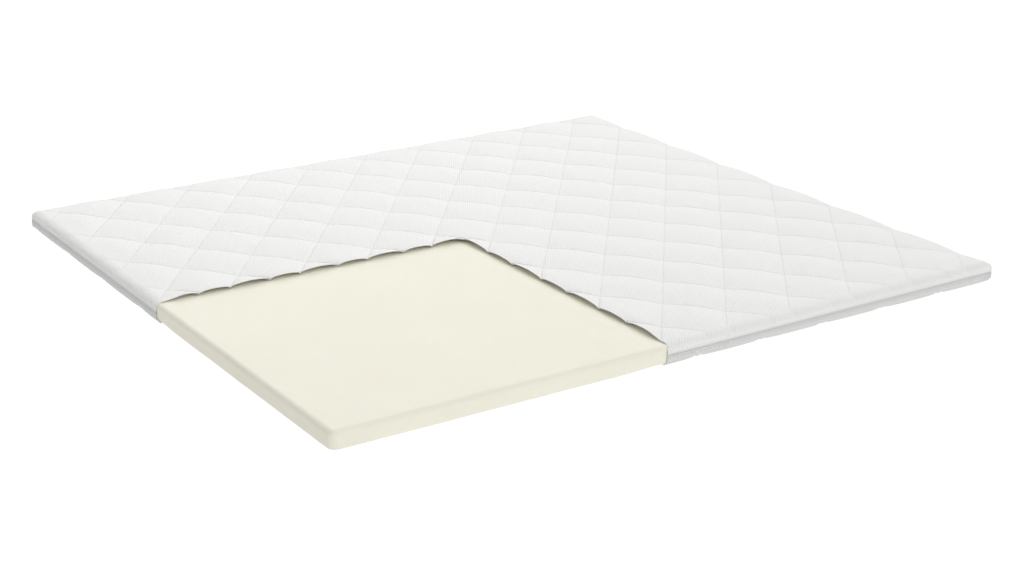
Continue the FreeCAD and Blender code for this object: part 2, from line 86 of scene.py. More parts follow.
def make_piece(name, verts, faces, body, material, weave=None, sharp=48.0):
    me = bpy.data.meshes.new(name)
    me.from_pydata((np.asarray(verts, float) * 0.001).tolist(), [], faces)
    me.validate()
    me.update()
    me.shade_smooth()
    if sharp:
        me.set_sharp_from_angle(angle=math.radians(sharp))
    if weave is not None:
        at = me.attributes.new("weave", "FLOAT_VECTOR", "POINT")
        w = np.zeros((len(verts), 3), np.float32)
        w[:, :2] = np.asarray(weave, np.float32)[:, :2] * 0.001
        at.data.foreach_set("vector", w.ravel())
    me.materials.append(material)
    ob = bpy.data.objects.new(name, me)
    bpy.context.scene.collection.objects.link(ob)
    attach(ob, body)
    return ob


def normals_of(verts, faces):
    me = bpy.data.meshes.new("tmp")
    me.from_pydata(np.asarray(verts, float).tolist(), [], faces)
    me.update()
    out = np.zeros(len(me.vertices) * 3, np.float32)
    me.vertex_normals.foreach_get("vector", out)
    bpy.data.meshes.remove(me)
    return out.reshape(-1, 3).astype(float)


def open_edges(faces):
    """Directed edges that only one face uses."""
    seen = {}
    for f in faces:
        n = len(f)
        for i in range(n):
            seen[(f[i], f[(i + 1) % n])] = True
    return [e for e in seen if (e[1], e[0]) not in seen]


def close_between(top, under, faces):
    """A closed piece from two layers with the same faces, and a rim round the edge."""
    n = len(top)
    out = list(faces)
    out += [tuple(i + n for i in reversed(f)) for f in faces]
    for a, b in open_edges(faces):
        out.append((b, a, a + n, b + n))
    return np.vstack([top, under]), out


# ---------------------------------------------------------------- quilting plan
FINE = (0.0, 0.012, 0.03, 0.06, 0.105, 0.17, 0.26, 0.37)
FINE = FINE + (0.5,) + tuple(1.0 - s for s in reversed(FINE[1:]))
COARSE = (0.0, 0.03, 0.1, 0.26, 0.5, 0.74, 0.9, 0.97)


def lattice(x, y, origin):
    return ((x - origin[0]) / PX + (y - origin[1]) / PY,
            (x - origin[0]) / PX - (y - origin[1]) / PY)


def squarer(a):
    """The corners are squarer in plan than a quarter circle."""
    return (math.cos(a) ** 6 + math.sin(a) ** 6) ** (-1 / 6)


def plan_of(origin, stops, hx, hy, cut_x, cut_y):
    """The cover seen from above, meshed along its stitch lines, with the corner cut out."""
    cu, cv = zip(*[lattice(sx * hx, sy * hy, origin) for sx in (-1, 1) for sy in (-1, 1)])
    us = np.array([k + s for k in range(math.floor(min(cu)) - 1, math.ceil(max(cu)) + 1) for s in stops])
    vs = np.array([k + s for k in range(math.floor(min(cv)) - 1, math.ceil(max(cv)) + 1) for s in stops])
    uu, vv = np.meshgrid(us, vs, indexing="ij")
    x = origin[0] + PX * (uu + vv) / 2
    y = origin[1] + PY * (uu - vv) / 2
    inside = (np.abs(x) < hx + 60) & (np.abs(y) < hy + 60)
    keep = inside[:-1, :-1] & inside[1:, :-1] & inside[1:, 1:] & inside[:-1, 1:]
    cx = (x[:-1, :-1] + x[1:, 1:]) / 2
    cy = (y[:-1, :-1] + y[1:, 1:]) / 2
    keep &= ~((cx < cut_x - 60) & (cy < cut_y - 60))
    index = np.arange(uu.size).reshape(uu.shape)
    i, j = np.nonzero(keep)
    quads = np.stack([index[i, j], index[i, j + 1], index[i + 1, j + 1], index[i + 1, j]], 1)
    used, inverse = np.unique(quads, return_inverse=True)
    quads = inverse.reshape(quads.shape)
    pts = np.stack([x.ravel()[used], y.ravel()[used], np.zeros(len(used))], 1)
    me = bpy.data.meshes.new("plan")
    me.from_pydata(pts.tolist(), [], quads.tolist())
    bm = bmesh.new()
    bm.from_mesh(me)
    bpy.data.meshes.remove(me)

    def bisect(co, no, clear):
        bmesh.ops.bisect_plane(bm, geom=bm.verts[:] + bm.edges[:] + bm.faces[:], dist=0.02,
                               plane_co=co, plane_no=no, clear_outer=clear)
    bisect((hx, 0, 0), (1, 0, 0), True)
    bisect((-hx, 0, 0), (-1, 0, 0), True)
    bisect((0, hy, 0), (0, 1, 0), True)
    bisect((0, -hy, 0), (0, -1, 0), True)
    bisect((cut_x, 0, 0), (1, 0, 0), False)
    bisect((0, cut_y, 0), (0, 1, 0), False)
    gone = []
    for f in bm.faces:
        c = f.calc_center_median()
        if c.x < cut_x and c.y < cut_y:
            gone.append(f)
    bmesh.ops.delete(bm, geom=gone, context="FACES")
    bmesh.ops.remove_doubles(bm, verts=bm.verts[:], dist=0.12)
    loose = [v for v in bm.verts if not v.link_faces]
    bmesh.ops.delete(bm, geom=loose, context="VERTS")
    bm.verts.index_update()
    p = np.array([(v.co.x, v.co.y) for v in bm.verts])
    faces = []
    for f in bm.faces:
        ids = [v.index for v in f.verts]
        if f.normal.z < 0:
            ids.reverse()
        faces.append(tuple(ids))
    bm.free()
    after = dict(open_edges(faces))
    # walk the outline anticlockwise, from the cut on the -Y side to the cut on the -X side
    eps = 0.2
    start = min(after, key=lambda k: abs(p[k, 0] - cut_x) + abs(p[k, 1] + hy))
    loop, k = [start], after[start]
    while k != start:
        loop.append(k)
        k = after[k]
    columns = []
    corners = {(1, -1): -90, (1, 1): 0, (-1, 1): 90}
    for k in loop:
        px, py = p[k]
        on = (px > hx - eps) * 1 - (px < -hx + eps) * 1, (py > hy - eps) * 1 - (py < -hy + eps) * 1
        if on == (0, 0):
            continue
        if on in corners:
            for s in range(9):
                a = math.radians(corners[on] + s * 90 / 8)
                q = squarer(a)
                columns.append((k, q * math.cos(a), q * math.sin(a)))
        elif on[0] and on[1]:
            continue
        else:
            columns.append((k, float(on[0]), float(on[1])))
    return {"p": p, "faces": faces, "columns": columns, "hx": hx, "hy": hy,
            "cut": (cut_x, cut_y), "origin": origin}


def to_cut(x, y, cut):
    """Distance from the cut edge."""
    dx, dy = cut[0] - x, cut[1] - y
    return np.where(dx > 0, y - cut[1], np.where(dy > 0, x - cut[0], np.hypot(dx, dy)))


def round_inner(x, y, cut, radius):
    """Rounds the inner corner of the cut-away."""
    dx, dy = cut[0] - x, cut[1] - y
    along_x = dx > 0
    s = np.clip(np.where(along_x, dx, np.where(dy > 0, dy, 0.0)), 0, radius)
    turn = np.radians(45 + 45 * s / radius)
    a, b = radius * np.cos(turn), radius * np.sin(turn)
    mx = np.where(along_x, -radius + a + s, -radius + b)
    my = np.where(along_x, -radius + b, -radius + a + s)
    w = np.clip(1 - to_cut(x, y, cut) / 70.0, 0, 1) ** 2
    return x + mx * w, y + my * w


def surface(plan, height, profile, rest, strip=None, flip=False):
    """One layer of cover: the flat part from the plan, the roll and the side from the
    profile, a list of (out, z, share of the flat part's unevenness)."""
    p, cols = plan["p"], plan["columns"]
    x, y = p[:, 0], p[:, 1]
    z = height(x, y)
    x2, y2 = round_inner(x, y, plan["cut"], CUT_R)
    top = np.stack([x2, y2, z], 1)
    base = np.array([c[0] for c in cols])
    n = np.array([(c[1], c[2]) for c in cols])
    m = len(profile)
    out = np.array([r[0] for r in profile])
    level = np.array([r[1] for r in profile])
    share = np.array([r[2] for r in profile])
    bx, by, bz = x[base], y[base], z[base]
    px = bx[:, None] + n[:, 0:1] * out
    py = by[:, None] + n[:, 1:2] * out
    pz = level[None, :] + (bz - rest)[:, None] * share
    run = np.concatenate([[0.0], np.cumsum(np.hypot(np.diff(np.concatenate([[0.0], out])),
                                                    np.diff(np.concatenate([[rest], level]))))])[1:]
    wx = bx[:, None] + n[:, 0:1] * run
    wy = by[:, None] + n[:, 1:2] * run
    if strip is not None:
        px, py, pz = strip(bx[:, None] + 0 * px, by[:, None] + 0 * px, n[:, 0:1], n[:, 1:2], px, py, pz)
    verts = np.vstack([top, np.stack([px.ravel(), py.ravel(), pz.ravel()], 1)])
    weave = np.vstack([p, np.stack([wx.ravel(), wy.ravel()], 1)])
    start = len(p)
    faces = list(plan["faces"])
    for j in range(len(cols) - 1):
        a, b = start + j * m, start + (j + 1) * m
        if cols[j][0] == cols[j + 1][0]:
            faces.append((cols[j][0], a, b))
        else:
            faces.append((cols[j + 1][0], cols[j][0], a, b))
        for r in range(1, m):
            faces.append((b + r - 1, a + r - 1, a + r, b + r))
    if flip:
        faces = [tuple(reversed(f)) for f in faces]
    return verts, faces, weave


def roll(out_flat, radius_out, radius_down, top, steps, rest_out=0.0):
    rows = []
    for k in range(1, steps + 1):
        a = math.radians(90 * k / steps)
        rows.append((rest_out + out_flat + radius_out * math.sin(a),
                     top - radius_down * (1 - math.cos(a)),
                     max(0.0, math.cos(a)) ** 1.2))
    return rows


# ------------------------------------------------------------------ upper cover
VALLEY = 48.2       # height of the stitch lines
RIM = 49.6          # height where the edge starts to roll over
ROLL_OUT = 28.0
IN_X, IN_Y = HX - ROLL_OUT, HY - ROLL_OUT


LIP = 1.9           # how far the cut edge stands off the foam between the arches


def puff(x, y, origin):
    u, v = lattice(x, y, origin)
    a, b = np.abs(np.sin(math.pi * u)), np.abs(np.sin(math.pi * v))
    return a, b


def upper_top(x, y):
    a, b = puff(x, y, UP_0)
    swell = 4.0 * np.sqrt(a * a + b * b - (a * b) ** 2) + 4.8 * (a * b) ** 0.66
    swell = swell * (1 + 0.07 * wobble(x, y, 3, 520))
    d = np.minimum(HX - np.abs(x), HY - np.abs(y))
    fade = smooth((d - ROLL_OUT + 2) / 70.0)
    z = VALLEY + swell * (0.45 + 0.55 * fade) + (1 - fade) * (RIM - VALLEY - 0.3)
    c = to_cut(x, y, (CUT_X, CUT_Y))
    near = np.exp(-(np.maximum(c, 0) / 50.0) ** 2)
    return z * (1 - near) + (VALLEY + LIP * fade + arches(a, b, fade) + (1 - fade) * 0.5) * near


def arches(a, b, fade):
    """Height of the loose arches between the stitch lines at the cut edge."""
    return 11.2 * (a * b) ** 0.42 * (0.25 + 0.75 * fade)


def lining_top(x, y):
    a, b = puff(x, y, UP_0)
    c = to_cut(x, y, (CUT_X, CUT_Y))
    near = np.exp(-(np.maximum(c, 0) / 24.0) ** 2)
    d = np.minimum(HX - np.abs(x), HY - np.abs(y))
    fade = smooth((d - ROLL_OUT + 2) / 70.0)
    hollow = np.maximum(0.0, LIP * fade + arches(a, b, fade) - 0.2)
    return FOAM_HI[2] + 0.65 + 0.3 * np.exp(-np.minimum(a, b) / 0.05) * (1 - near) + hollow * near


SIDE_BACK = 7.0     # the cut is this much further along at the foot of the side


def side_cut_shift(bx, by, ny, pz):
    q = np.clip((bx - CUT_X) / 120.0, 0, 1)
    return -SIDE_BACK * smooth((RIM - pz) / 16.0) * (1 - q) ** 2 * (ny < -0.5)


def upper_strip(bx, by, nx, ny, px, py, pz):
    """The roll keeps some of the quilting's swell and a little unevenness."""
    a, b = puff(bx, by, UP_0)
    swell = (a * b) ** 0.5 - 0.42
    rise = np.clip((pz - UP_LO - 4.0) / 12.0, 0, 1)
    top_off = np.clip((RIM + 3.0 - pz) / 6.0, 0, 1)
    push = (4.2 * swell + 0.7 * wobble(bx, by, 11, 260)) * rise * top_off
    back = side_cut_shift(bx, by, ny, pz)
    return px + nx * push + back, py + ny * push, pz + push * 0.35


def upper_profile(inset, top, down, low):
    out = ROLL_OUT - inset
    rows = roll(0.0, out, down, top, 9)
    z = top - down
    steps = [max(z - 1.6, UP_LO + 3.15), UP_LO + 2.9, UP_LO + 2.25, UP_LO + 1.6, UP_LO + 0.5, low]
    press = [0.0, 0.0, 0.3, 0.0, 0.0, 0.12]
    steps = [(s, q) for s, q in zip(steps, press) if s < z - 0.2]
    return rows + [(out - q, s, 0.0) for s, q in steps]


# -------------------------------------------------------------------- materials
def nodes_of(name):
    m = bpy.data.materials.new(name)
    m.use_nodes = True
    nt = m.node_tree
    for n in list(nt.nodes):
        nt.nodes.remove(n)
    out = nt.nodes.new("ShaderNodeOutputMaterial")
    bs = nt.nodes.new("ShaderNodeBsdfPrincipled")
    nt.links.new(bs.outputs["BSDF"], out.inputs["Surface"])
    return m, nt, bs


def put(nt, socket, value):
    if isinstance(value, bpy.types.NodeSocket):
        nt.links.new(value, socket)
    else:
        socket.default_value = value


def calc(nt, op, a, b=None, c=None):
    n = nt.nodes.new("ShaderNodeMath")
    n.operation = op
    put(nt, n.inputs[0], a)
    if b is not None:
        put(nt, n.inputs[1], b)
    if c is not None:
        put(nt, n.inputs[2], c)
    return n.outputs[0]


def noise(nt, vector, scale, detail=2.0, rough=0.5):
    n = nt.nodes.new("ShaderNodeTexNoise")
    put(nt, n.inputs["Vector"], vector)
    n.inputs["Scale"].default_value = scale
    n.inputs["Detail"].default_value = detail
    n.inputs["Roughness"].default_value = rough
    return n.outputs["Fac"]


def cells(nt, vector, scale, feature="F1"):
    n = nt.nodes.new("ShaderNodeTexVoronoi")
    n.feature = feature
    put(nt, n.inputs["Vector"], vector)
    n.inputs["Scale"].default_value = scale
    return n.outputs["Distance"]


def ramp(nt, fac, dark, light, lo=0.0, hi=1.0):
    n = nt.nodes.new("ShaderNodeValToRGB")
    put(nt, n.inputs["Fac"], fac)
    n.color_ramp.elements[0].position = lo
    n.color_ramp.elements[0].color = (*dark, 1)
    n.color_ramp.elements[1].position = hi
    n.color_ramp.elements[1].color = (*light, 1)
    return n.outputs["Color"]


def bump(nt, bs, height, strength, distance, base=None):
    n = nt.nodes.new("ShaderNodeBump")
    n.inputs["Strength"].default_value = strength
    n.inputs["Distance"].default_value = distance
    put(nt, n.inputs["Height"], height)
    if base is not None:
        nt.links.new(base, n.inputs["Normal"])
    if bs is not None:
        nt.links.new(n.outputs["Normal"], bs.inputs["Normal"])
    return n.outputs["Normal"]


def attribute(nt, name):
    n = nt.nodes.new("ShaderNodeAttribute")
    n.attribute_type = "GEOMETRY"
    n.attribute_name = name
    return n.outputs["Vector"]


def place(nt):
    return nt.nodes.new("ShaderNodeTexCoord").outputs["Object"]


def split(nt, vector):
    n = nt.nodes.new("ShaderNodeSeparateXYZ")
    nt.links.new(vector, n.inputs[0])
    return n.outputs


def cosine(nt, value, per_metre, phase=0.0):
    return calc(nt, "COSINE", calc(nt, "MULTIPLY_ADD", value, 2 * math.pi * per_metre, phase))


def knit_material(name, origin, rib, shade):
    """A white circular knit: rows of small dimples, fine wales, and a crease with
    needle holes along the stitch lines; painted shade darkens the dimples, creases and holes."""
    m, nt, bs = nodes_of(name)
    w = attribute(nt, "weave")
    xyz = split(nt, w)
    x, y = xyz[0], xyz[1]
    # dimples on a centred lattice, 7.5 by 11.7 mm
    dimple = calc(nt, "MULTIPLY", cosine(nt, x, 133.3), cosine(nt, y, 85.5))
    pits = calc(nt, "POWER", calc(nt, "MAXIMUM", dimple, 0.0), 1.4)
    wale = cosine(nt, x, 133.3 * 4)
    course = cosine(nt, y, 85.5 * 8)
    yarn = calc(nt, "MULTIPLY", wale, course)
    # distance from the nearest stitch line, in repeats
    u = calc(nt, "ADD", calc(nt, "MULTIPLY_ADD", x, 1000 / PX, -origin[0] / PX),
             calc(nt, "MULTIPLY_ADD", y, 1000 / PY, -origin[1] / PY))
    v = calc(nt, "SUBTRACT", calc(nt, "MULTIPLY_ADD", x, 1000 / PX, -origin[0] / PX),
             calc(nt, "MULTIPLY_ADD", y, 1000 / PY, -origin[1] / PY))
    du = calc(nt, "PINGPONG", u, 0.5)
    dv = calc(nt, "PINGPONG", v, 0.5)
    near = calc(nt, "MINIMUM", du, dv)
    crease = calc(nt, "SUBTRACT", 1.0, calc(nt, "MINIMUM", calc(nt, "MULTIPLY", near, 1 / 0.022), 1.0))
    tight = calc(nt, "SUBTRACT", 1.0, calc(nt, "MINIMUM", calc(nt, "MULTIPLY", near, 1 / 0.0075), 1.0))
    # the quilting dies out towards the edge
    ex = calc(nt, "SUBTRACT", HX / 1000 - 0.010, calc(nt, "ABSOLUTE", x))
    ey = calc(nt, "SUBTRACT", HY / 1000 - 0.010, calc(nt, "ABSOLUTE", y))
    edge = calc(nt, "MINIMUM", calc(nt, "MAXIMUM", calc(nt, "MULTIPLY", calc(nt, "MINIMUM", ex, ey), 1 / 0.02), 0.0), 1.0)
    crease = calc(nt, "MULTIPLY", crease, edge)
    tight = calc(nt, "MULTIPLY", tight, edge)
    # needle holes, one between each stitch and the next, dented by the bump and darkened with painted shade
    per = math.hypot(PX / 2, PY / 2) / 5.0
    at_u = cosine(nt, v, per, math.pi)
    at_v = cosine(nt, u, per, math.pi)
    on_u = calc(nt, "SUBTRACT", 1.0, calc(nt, "MINIMUM", calc(nt, "MULTIPLY", du, 1 / 0.011), 1.0))
    on_v = calc(nt, "SUBTRACT", 1.0, calc(nt, "MINIMUM", calc(nt, "MULTIPLY", dv, 1 / 0.011), 1.0))
    holes = calc(nt, "ADD", calc(nt, "MULTIPLY", on_u, calc(nt, "MAXIMUM", at_u, 0.0)),
                 calc(nt, "MULTIPLY", calc(nt, "MULTIPLY", on_v, calc(nt, "MAXIMUM", at_v, 0.0)), 0.6))
    holes = calc(nt, "MULTIPLY", holes, edge)
    crease_u = calc(nt, "SUBTRACT", 1.0, calc(nt, "MINIMUM", calc(nt, "MULTIPLY", du, 1 / 0.020), 1.0))
    crease_u = calc(nt, "MULTIPLY", crease_u, edge)
    soft = noise(nt, w, 9.0, 3.0)
    fibre = noise(nt, w, 900.0, 2.0)
    h = calc(nt, "MULTIPLY", pits, -1.1)
    h = calc(nt, "MULTIPLY_ADD", yarn, 0.16, h)
    h = calc(nt, "MULTIPLY_ADD", fibre, 0.25, h)
    if rib:
        # on the sides the rows of the knit show as slanting ribs
        on_x = calc(nt, "LESS_THAN", ex, 0.022)
        on_y = calc(nt, "LESS_THAN", ey, 0.022)
        ribs = calc(nt, "ADD", calc(nt, "MULTIPLY", on_y, cosine(nt, calc(nt, "MULTIPLY_ADD", y, 0.55, x), 154.0)),
                    calc(nt, "MULTIPLY", on_x, cosine(nt, calc(nt, "MULTIPLY_ADD", x, 0.55, y), 154.0)))
        h = calc(nt, "MULTIPLY_ADD", ribs, rib * 5.0, h)
    h = calc(nt, "MULTIPLY_ADD", crease, -0.5, h)
    h = calc(nt, "MULTIPLY_ADD", holes, -1.6, h)
    bump(nt, bs, h, 0.6, 0.0009)
    # painted shade: the dimples are painted darker, and darker still near the edge, over the roll and down the sides
    side = calc(nt, "MINIMUM", calc(nt, "MAXIMUM", calc(nt, "MULTIPLY_ADD", calc(nt, "MINIMUM", ex, ey), -1 / 0.07, 1.0), 0.0), 1.0)
    tone = calc(nt, "MULTIPLY", pits, calc(nt, "MULTIPLY_ADD", side, -0.30, -0.32))
    tone = calc(nt, "MULTIPLY_ADD", yarn, 0.03, tone)
    tone = calc(nt, "MULTIPLY_ADD", fibre, 0.05, tone)
    tone = calc(nt, "MULTIPLY_ADD", soft, 0.06, tone)
    # painted shade along the stitch-line creases, heavier on lines of one family
    tone = calc(nt, "MULTIPLY_ADD", crease, -0.03, tone)
    tone = calc(nt, "MULTIPLY_ADD", crease_u, -0.06, tone)
    tone = calc(nt, "MULTIPLY_ADD", tight, -0.05, tone)
    # painted shade in the needle holes
    tone = calc(nt, "MULTIPLY_ADD", holes, -0.60, tone)
    if rib:
        tone = calc(nt, "MULTIPLY_ADD", ribs, 0.50, tone)
    tone = calc(nt, "ADD", tone, 0.50)
    lo, hi = shade
    put(nt, bs.inputs["Base Color"], ramp(nt, tone, lo, hi, 0.0, 1.0))
    bs.inputs["Roughness"].default_value = 0.92
    bs.inputs["Specular IOR Level"].default_value = 0.15
    bs.inputs["Sheen Weight"].default_value = 0.08
    bs.inputs["Sheen Roughness"].default_value = 0.5
    return m


def fluffy_material(name, lo, hi, scale):
    m, nt, bs = nodes_of(name)
    p = place(nt)
    a = noise(nt, p, scale, 5.0, 0.65)
    b = noise(nt, p, scale * 6, 3.0, 0.6)
    h = calc(nt, "MULTIPLY_ADD", b, 0.4, a)
    bump(nt, bs, h, 0.8, 0.0012)
    put(nt, bs.inputs["Base Color"], ramp(nt, a, lo, hi, 0.25, 0.75))
    bs.inputs["Roughness"].default_value = 1.0
    bs.inputs["Specular IOR Level"].default_value = 0.1
    return m


def lining_material(name, origin):
    """A spunbonded lining: bonded dots on a fine grid."""
    m, nt, bs = nodes_of(name)
    w = attribute(nt, "weave")
    xyz = split(nt, w)
    dots = calc(nt, "MULTIPLY", cosine(nt, xyz[0], 400), cosine(nt, xyz[1], 400))
    web = noise(nt, w, 260.0, 4.0, 0.7)
    h = calc(nt, "MULTIPLY_ADD", dots, -0.3, web)
    bump(nt, bs, h, 0.5, 0.0004)
    tone = calc(nt, "MULTIPLY_ADD", dots, -0.12, web)
    put(nt, bs.inputs["Base Color"], ramp(nt, tone, (0.88, 0.88, 0.87), (0.97, 0.97, 0.96), 0.2, 0.8))
    bs.inputs["Roughness"].default_value = 0.8
    bs.inputs["Specular IOR Level"].default_value = 0.25
    return m


def thread_material(name, colour):
    """Twisted sewing thread."""
    m, nt, bs = nodes_of(name)
    p = place(nt)
    xyz = split(nt, p)
    twist = calc(nt, "SINE", calc(nt, "MULTIPLY", calc(nt, "ADD", calc(nt, "ADD", xyz[0], xyz[1]), calc(nt, "MULTIPLY", xyz[2], 3.0)), 2 * math.pi * 1500))
    fine = noise(nt, p, 1200.0, 2.0)
    bump(nt, bs, calc(nt, "MULTIPLY_ADD", fine, 0.3, twist), 0.4, 0.0001)
    t = calc(nt, "MULTIPLY_ADD", twist, 0.12, fine)
    put(nt, bs.inputs["Base Color"], ramp(nt, t, tuple(c * 0.86 for c in colour), colour, 0.2, 0.8))
    bs.inputs["Roughness"].default_value = 0.6
    bs.inputs["Specular IOR Level"].default_value = 0.4
    bs.inputs["Sheen Weight"].default_value = 0.1
    return m


def tape_material(name, lo, hi):
    """A woven zip tape: a fine herringbone."""
    m, nt, bs = nodes_of(name)
    w = attribute(nt, "weave")
    xyz = split(nt, w)
    zig = calc(nt, "PINGPONG", calc(nt, "MULTIPLY", xyz[1], 1000.0), 1.0)
    rib = calc(nt, "SINE", calc(nt, "MULTIPLY", calc(nt, "MULTIPLY_ADD", zig, 0.0008, xyz[0]), 2 * math.pi * 1100))
    warp = cosine(nt, xyz[1], 2000)
    fine = noise(nt, w, 1500.0, 2.0)
    slow = noise(nt, w, 14.0, 2.0)
    h = calc(nt, "MULTIPLY_ADD", warp, 0.4, rib)
    bump(nt, bs, calc(nt, "MULTIPLY_ADD", fine, 0.3, h), 0.45, 0.00015)
    t = calc(nt, "MULTIPLY_ADD", rib, 0.10, calc(nt, "MULTIPLY_ADD", slow, 0.35, calc(nt, "MULTIPLY", fine, 0.45)))
    put(nt, bs.inputs["Base Color"], ramp(nt, t, lo, hi, 0.15, 0.75))
    bs.inputs["Roughness"].default_value = 0.75
    bs.inputs["Specular IOR Level"].default_value = 0.3
    return m


def coil_material(name):
    m, nt, bs = nodes_of(name)
    p = place(nt)
    a = noise(nt, p, 400.0, 2.0)
    bump(nt, bs, a, 0.2, 0.0001)
    put(nt, bs.inputs["Base Color"], ramp(nt, a, (0.50, 0.50, 0.52), (0.62, 0.62, 0.64), 0.3, 0.7))
    bs.inputs["Roughness"].default_value = 0.38
    bs.inputs["Specular IOR Level"].default_value = 0.5
    return m


def metal_material(name):
    """Plated zinc, brushed by the mould and a little worn."""
    m, nt, bs = nodes_of(name)
    p = place(nt)
    grain = noise(nt, p, 700.0, 3.0)
    wear = noise(nt, p, 160.0, 4.0, 0.6)
    bump(nt, bs, calc(nt, "MULTIPLY_ADD", wear, 0.5, grain), 0.25, 0.0001)
    put(nt, bs.inputs["Base Color"], ramp(nt, wear, (0.52, 0.52, 0.53), (0.74, 0.74, 0.75), 0.3, 0.7))
    put(nt, bs.inputs["Roughness"], calc(nt, "MULTIPLY_ADD", wear, 0.35, 0.14))
    bs.inputs["Metallic"].default_value = 1.0
    return m


def satin_material(name):
    m, nt, bs = nodes_of(name)
    p = place(nt)
    xyz = split(nt, p)
    weft = cosine(nt, xyz[2], 3500)
    fine = noise(nt, p, 900.0, 2.0)
    bump(nt, bs, calc(nt, "MULTIPLY_ADD", fine, 0.5, weft), 0.3, 0.00005)
    put(nt, bs.inputs["Base Color"], ramp(nt, fine, (0.80, 0.80, 0.79), (0.88, 0.88, 0.87), 0.2, 0.8))
    bs.inputs["Roughness"].default_value = 0.42
    bs.inputs["Specular IOR Level"].default_value = 0.5
    bs.inputs["Sheen Weight"].default_value = 0.2
    return m


def foam_material(name):
    """Open-celled viscoelastic foam, cream, with very fine pores."""
    m, nt, bs = nodes_of(name)
    p = place(nt)
    pores = cells(nt, p, 700.0)
    small = cells(nt, p, 1700.0)
    slow = noise(nt, p, 5.0, 3.0)
    mid = noise(nt, p, 60.0, 3.0)
    h = calc(nt, "MULTIPLY_ADD", small, 0.5, pores)
    bump(nt, bs, calc(nt, "MULTIPLY_ADD", mid, 0.8, h), 0.4, 0.0005)
    t = calc(nt, "MULTIPLY_ADD", slow, 0.5, calc(nt, "MULTIPLY_ADD", pores, 0.35, calc(nt, "MULTIPLY", mid, 0.3)))
    put(nt, bs.inputs["Base Color"], ramp(nt, t, FOAM_DARK, FOAM_LIGHT, 0.2, 0.9))
    bs.inputs["Roughness"].default_value = 0.95
    bs.inputs["Specular IOR Level"].default_value = 0.15
    bs.inputs["Subsurface Weight"].default_value = 0.12
    bs.inputs["Subsurface Radius"].default_value = (0.006, 0.005, 0.003)
    bs.inputs["Subsurface Scale"].default_value = 1.0
    bs.inputs["Sheen Weight"].default_value = 0.05
    return m


FOAM_DARK, FOAM_LIGHT = (0.845, 0.822, 0.70), (0.90, 0.882, 0.765)
mat_knit_up = knit_material("upper_knit_white", UP_0, 0.0, ((0.715, 0.713, 0.703), (1.0, 0.998, 0.986)))
mat_knit_low = knit_material("lower_knit_white", LOW_0, 0.30, ((0.62, 0.618, 0.60), (0.93, 0.928, 0.905)))
mat_wadding = fluffy_material("fibre_wadding", (0.74, 0.74, 0.73), (0.88, 0.88, 0.87), 220.0)
mat_lining_up = lining_material("upper_spunbond", UP_0)
mat_lining_low = lining_material("lower_spunbond", LOW_0)
mat_thread = thread_material("white_thread", (0.80, 0.80, 0.79))
mat_seam = thread_material("seam_thread", (0.74, 0.74, 0.74))
mat_tape = tape_material("grey_zip_tape", (0.64, 0.64, 0.645), (0.81, 0.81, 0.815))
mat_coil = coil_material("nylon_coil")
mat_metal = metal_material("plated_zinc")
mat_satin = satin_material("blank_satin")
mat_foam = foam_material("cream_foam")


# ------------------------------------------------------------ upper cover layers
fine_up = plan_of(UP_0, FINE, IN_X, IN_Y, CUT_X, CUT_Y)
coarse_up = plan_of(UP_0, COARSE, IN_X, IN_Y, CUT_X + 0.8, CUT_Y + 0.8)

KNIT, LINE = 0.6, 0.3
outer, faces, weave = surface(fine_up, upper_top, upper_profile(0.0, RIM, 17.0, UP_LO), RIM, upper_strip)
inner = outer - normals_of(outer, faces) * KNIT
v, f = close_between(outer, inner, faces)
upper_knit = make_piece("upper_quilted_knit", v, f, "upper_cover", mat_knit_up, np.vstack([weave, weave]))
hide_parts("upper_cover_knit")

LIN_TOP = FOAM_HI[2] + 0.65
up_l, faces, weave = surface(coarse_up, lining_top, upper_profile(2.35, LIN_TOP, 13.7, UP_LO + 0.4), LIN_TOP)
low_l = up_l - normals_of(up_l, faces) * LINE
v, f = close_between(up_l, low_l, faces)
upper_lining = make_piece("upper_lining_cloth", v, f, "upper_cover", mat_lining_up, np.vstack([weave, weave]))
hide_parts("upper_cover_lining")

up_w, faces, weave = surface(coarse_up, lambda x, y: upper_top(x, y) - KNIT - 0.15,
                             upper_profile(KNIT + 0.15, RIM - KNIT - 0.15, 16.4, UP_LO + 0.4), RIM - KNIT - 0.15,
                             lambda bx, by, nx, ny, px, py, pz: upper_strip(bx, by, nx, ny, px, py, pz))
floor_w = up_l + normals_of(up_l, faces) * 0.08
up_w[:, 2] = np.where(up_w[:, 2] > 40, np.maximum(up_w[:, 2], floor_w[:, 2] + 0.05), up_w[:, 2])
v, f = close_between(up_w, floor_w, faces)
upper_wadding = make_piece("upper_wadding_layer", v, f, "upper_cover", mat_wadding)
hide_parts("upper_cover_wadding")


# ------------------------------------------------------------------ lower cover
def lower_under(x, y):
    a, b = puff(x, y, LOW_0)
    d = np.minimum(HX - np.abs(x), HY - np.abs(y))
    deep = 1.5 + 1.3 * smooth((40 - d) / 30.0)
    return deep * (1 - np.minimum(1.0, (a * b) ** 0.3 * 1.08)) + 0.02


LOW_OUT = 24.0
LOW_CUT = (CUT_X - 14.0, CUT_Y - 18.0)


def lower_cut_shift(bx, by, nx, ny, px, py, pz):
    """The cut runs out under the foam as it goes down."""
    up = smooth((pz - 1.5) / 8.0)
    q = np.clip((bx - LOW_CUT[0]) / 180.0, 0, 1)
    sx = (14.0 - SIDE_BACK) * up * (1 - q) ** 2 * (ny < -0.5)
    r = np.clip((by - LOW_CUT[1]) / 110.0, 0, 1)
    sy = 18.0 * up * (1 - r) ** 2 * (nx < -0.5)
    return px + sx, py + sy, pz


